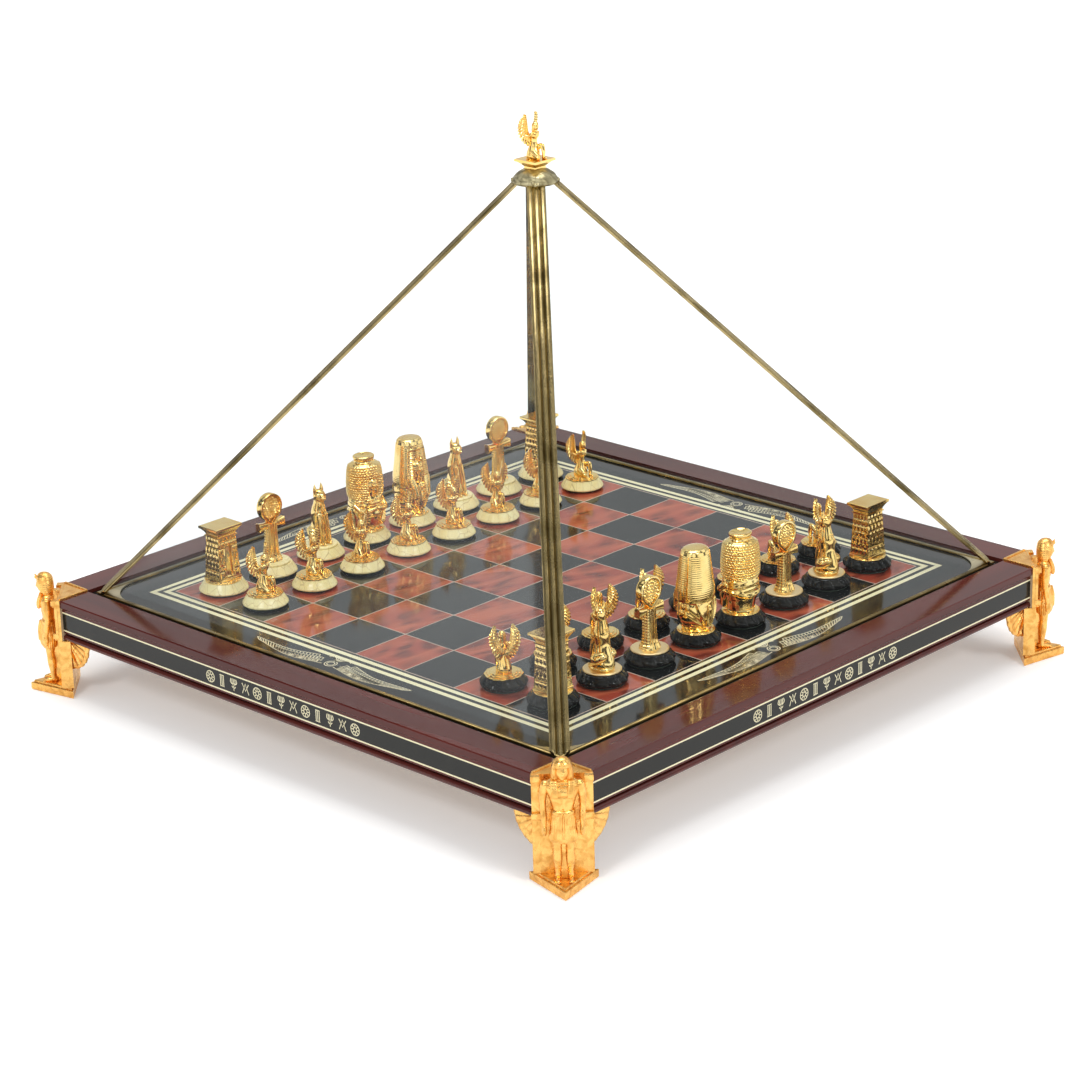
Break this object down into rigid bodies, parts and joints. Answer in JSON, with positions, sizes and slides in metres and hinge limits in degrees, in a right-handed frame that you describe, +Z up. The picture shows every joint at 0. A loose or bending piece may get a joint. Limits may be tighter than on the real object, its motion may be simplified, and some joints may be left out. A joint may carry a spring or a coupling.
{
  "type": "chess set",
  "caption": "Square chess board on figure-shaped gilt feet, with gilt chess pieces under a lift-off glass pyramid held in brass.",
  "frame": {"origin": "on the floor under the middle of the board, at the underside of the feet", "axes": "+Z up; -Y towards the player of the black army, +Y towards the ivory army"},
  "size_m": [0.451, 0.451, 0.3491],
  "materials": {
    "mahogany_lacquer": "glossy dark red lacquer",
    "black_band": "glossy black lacquer",
    "black_lacquer": "mirror-glossy black lacquer",
    "red_marbled": "swirled red and brown, polished",
    "ivory_line": "ivory-coloured inlay",
    "plain_wood": "unfinished board",
    "gilt": "gold-plated casting",
    "aged_brass": "aged olive brass",
    "clear_glass": "clear polished"
  },
  "bodies": {
    "board": {"frame_rail_right": "mahogany_lacquer", "frame_rail_back": "mahogany_lacquer", "frame_rail_left": "mahogany_lacquer", "frame_rail_front": "mahogany_lacquer", "fascia_bands": "black_band", "fascia_lines": "ivory_line", "lower_rails": "mahogany_lacquer", "corner_blocks": "mahogany_lacquer", "foot_dowels": "plain_wood", "core_board": "plain_wood", "playing_panel": "black_lacquer", "red_squares": "red_marbled", "border_lines": "ivory_line", "foot_back_right": "gilt", "foot_back_left": "gilt", "foot_front_left": "gilt", "foot_front_right": "gilt"},
    "cover": {"glass_pane_right": "clear_glass", "glass_pane_back": "clear_glass", "glass_pane_left": "clear_glass", "glass_pane_front": "clear_glass", "hip_cames": "aged_brass", "base_channel": "aged_brass", "corner_gussets": "aged_brass", "apex_cap": "aged_brass", "finial_pedestal": "gilt", "finial_figure": "gilt"},
    "black_rook_h": {"black_rook_h": "gilt"},
    "ivory_rook_h": {"ivory_rook_h": "gilt"},
    "black_knight_g": {"black_knight_g": "gilt"},
    "ivory_bishop_g": {"ivory_bishop_g": "gilt"},
    "black_bishop_f": {"black_bishop_f": "gilt"},
    "ivory_knight_f": {"ivory_knight_f": "gilt"},
    "black_king": {"black_king": "gilt"},
    "ivory_queen": {"ivory_queen": "gilt"},
    "black_queen": {"black_queen": "gilt"},
    "ivory_king": {"ivory_king": "gilt"},
    "black_bishop_c": {"black_bishop_c": "gilt"},
    "ivory_knight_c": {"ivory_knight_c": "gilt"},
    "black_knight_b": {"black_knight_b": "gilt"},
    "ivory_bishop_b": {"ivory_bishop_b": "gilt"},
    "black_rook_a": {"black_rook_a": "gilt"},
    "ivory_rook_a": {"ivory_rook_a": "gilt"},
    "black_pawn_h": {"black_pawn_h": "gilt"},
    "ivory_pawn_h": {"ivory_pawn_h": "gilt"},
    "black_pawn_g": {"black_pawn_g": "gilt"},
    "ivory_pawn_g": {"ivory_pawn_g": "gilt"},
    "black_pawn_f": {"black_pawn_f": "gilt"},
    "ivory_pawn_f": {"ivory_pawn_f": "gilt"},
    "black_pawn_e": {"black_pawn_e": "gilt"},
    "ivory_pawn_e": {"ivory_pawn_e": "gilt"},
    "black_pawn_d": {"black_pawn_d": "gilt"},
    "ivory_pawn_d": {"ivory_pawn_d": "gilt"},
    "black_pawn_c": {"black_pawn_c": "gilt"},
    "ivory_pawn_c": {"ivory_pawn_c": "gilt"},
    "black_pawn_b": {"black_pawn_b": "gilt"},
    "ivory_pawn_b": {"ivory_pawn_b": "gilt"},
    "black_pawn_a": {"black_pawn_a": "gilt"},
    "ivory_pawn_a": {"ivory_pawn_a": "gilt"}
  },
  "joints": [
    {"name": "cover_lift", "type": "slide", "parent": "board", "child": "cover", "axis": [0, 0, 1], "range_m": [0, 0.15]},
    {"name": "black_rook_h_lift", "type": "slide", "parent": "board", "child": "black_rook_h", "axis": [0.5123, 0.5123, 0.6892], "range_m": [0, 0.012]},
    {"name": "ivory_rook_h_lift", "type": "slide", "parent": "board", "child": "ivory_rook_h", "axis": [0.5123, -0.5123, 0.6892], "range_m": [0, 0.012]},
    {"name": "black_knight_g_lift", "type": "slide", "parent": "board", "child": "black_knight_g", "axis": [0, 0.5966, 0.8026], "range_m": [0, 0.012]},
    {"name": "ivory_bishop_g_lift", "type": "slide", "parent": "board", "child": "ivory_bishop_g", "axis": [0, -0.5966, 0.8026], "range_m": [0, 0.012]},
    {"name": "black_bishop_f_lift", "type": "slide", "parent": "board", "child": "black_bishop_f", "axis": [0, 0.5966, 0.8026], "range_m": [0, 0.012]},
    {"name": "ivory_knight_f_lift", "type": "slide", "parent": "board", "child": "ivory_knight_f", "axis": [0, -0.5966, 0.8026], "range_m": [0, 0.012]},
    {"name": "black_king_lift", "type": "slide", "parent": "board", "child": "black_king", "axis": [0, 0.5966, 0.8026], "range_m": [0, 0.012]},
    {"name": "ivory_queen_lift", "type": "slide", "parent": "board", "child": "ivory_queen", "axis": [0, -0.5966, 0.8026], "range_m": [0, 0.012]},
    {"name": "black_queen_lift", "type": "slide", "parent": "board", "child": "black_queen", "axis": [0, 0.5966, 0.8026], "range_m": [0, 0.012]},
    {"name": "ivory_king_lift", "type": "slide", "parent": "board", "child": "ivory_king", "axis": [0, -0.5966, 0.8026], "range_m": [0, 0.012]},
    {"name": "black_bishop_c_lift", "type": "slide", "parent": "board", "child": "black_bishop_c", "axis": [0, 0.5966, 0.8026], "range_m": [0, 0.012]},
    {"name": "ivory_knight_c_lift", "type": "slide", "parent": "board", "child": "ivory_knight_c", "axis": [0, -0.5966, 0.8026], "range_m": [0, 0.012]},
    {"name": "black_knight_b_lift", "type": "slide", "parent": "board", "child": "black_knight_b", "axis": [0, 0.5966, 0.8026], "range_m": [0, 0.012]},
    {"name": "ivory_bishop_b_lift", "type": "slide", "parent": "board", "child": "ivory_bishop_b", "axis": [0, -0.5966, 0.8026], "range_m": [0, 0.012]},
    {"name": "black_rook_a_lift", "type": "slide", "parent": "board", "child": "black_rook_a", "axis": [-0.5123, 0.5123, 0.6892], "range_m": [0, 0.012]},
    {"name": "ivory_rook_a_lift", "type": "slide", "parent": "board", "child": "ivory_rook_a", "axis": [-0.5123, -0.5123, 0.6892], "range_m": [0, 0.012]},
    {"name": "black_pawn_h_step", "type": "slide", "parent": "board", "child": "black_pawn_h", "axis": [0, 1, 0], "range_m": [0, 0.08]},
    {"name": "ivory_pawn_h_step", "type": "slide", "parent": "board", "child": "ivory_pawn_h", "axis": [0, -1, 0], "range_m": [0, 0.08]},
    {"name": "black_pawn_g_step", "type": "slide", "parent": "board", "child": "black_pawn_g", "axis": [0, 1, 0], "range_m": [0, 0.08]},
    {"name": "ivory_pawn_g_step", "type": "slide", "parent": "board", "child": "ivory_pawn_g", "axis": [0, -1, 0], "range_m": [0, 0.08]},
    {"name": "black_pawn_f_step", "type": "slide", "parent": "board", "child": "black_pawn_f", "axis": [0, 1, 0], "range_m": [0, 0.08]},
    {"name": "ivory_pawn_f_step", "type": "slide", "parent": "board", "child": "ivory_pawn_f", "axis": [0, -1, 0], "range_m": [0, 0.08]},
    {"name": "black_pawn_e_step", "type": "slide", "parent": "board", "child": "black_pawn_e", "axis": [0, 1, 0], "range_m": [0, 0.08]},
    {"name": "ivory_pawn_e_step", "type": "slide", "parent": "board", "child": "ivory_pawn_e", "axis": [0, -1, 0], "range_m": [0, 0.08]},
    {"name": "black_pawn_d_step", "type": "slide", "parent": "board", "child": "black_pawn_d", "axis": [0, 1, 0], "range_m": [0, 0.08]},
    {"name": "ivory_pawn_d_step", "type": "slide", "parent": "board", "child": "ivory_pawn_d", "axis": [0, -1, 0], "range_m": [0, 0.08]},
    {"name": "black_pawn_c_step", "type": "slide", "parent": "board", "child": "black_pawn_c", "axis": [0, 1, 0], "range_m": [0, 0.08]},
    {"name": "ivory_pawn_c_step", "type": "slide", "parent": "board", "child": "ivory_pawn_c", "axis": [0, -1, 0], "range_m": [0, 0.08]},
    {"name": "black_pawn_b_step", "type": "slide", "parent": "board", "child": "black_pawn_b", "axis": [0, 1, 0], "range_m": [0, 0.08]},
    {"name": "ivory_pawn_b_step", "type": "slide", "parent": "board", "child": "ivory_pawn_b", "axis": [0, -1, 0], "range_m": [0, 0.08]},
    {"name": "black_pawn_a_step", "type": "slide", "parent": "board", "child": "black_pawn_a", "axis": [0, 1, 0], "range_m": [0, 0.08]},
    {"name": "ivory_pawn_a_step", "type": "slide", "parent": "board", "child": "ivory_pawn_a", "axis": [0, -1, 0], "range_m": [0, 0.08]}
  ]
}
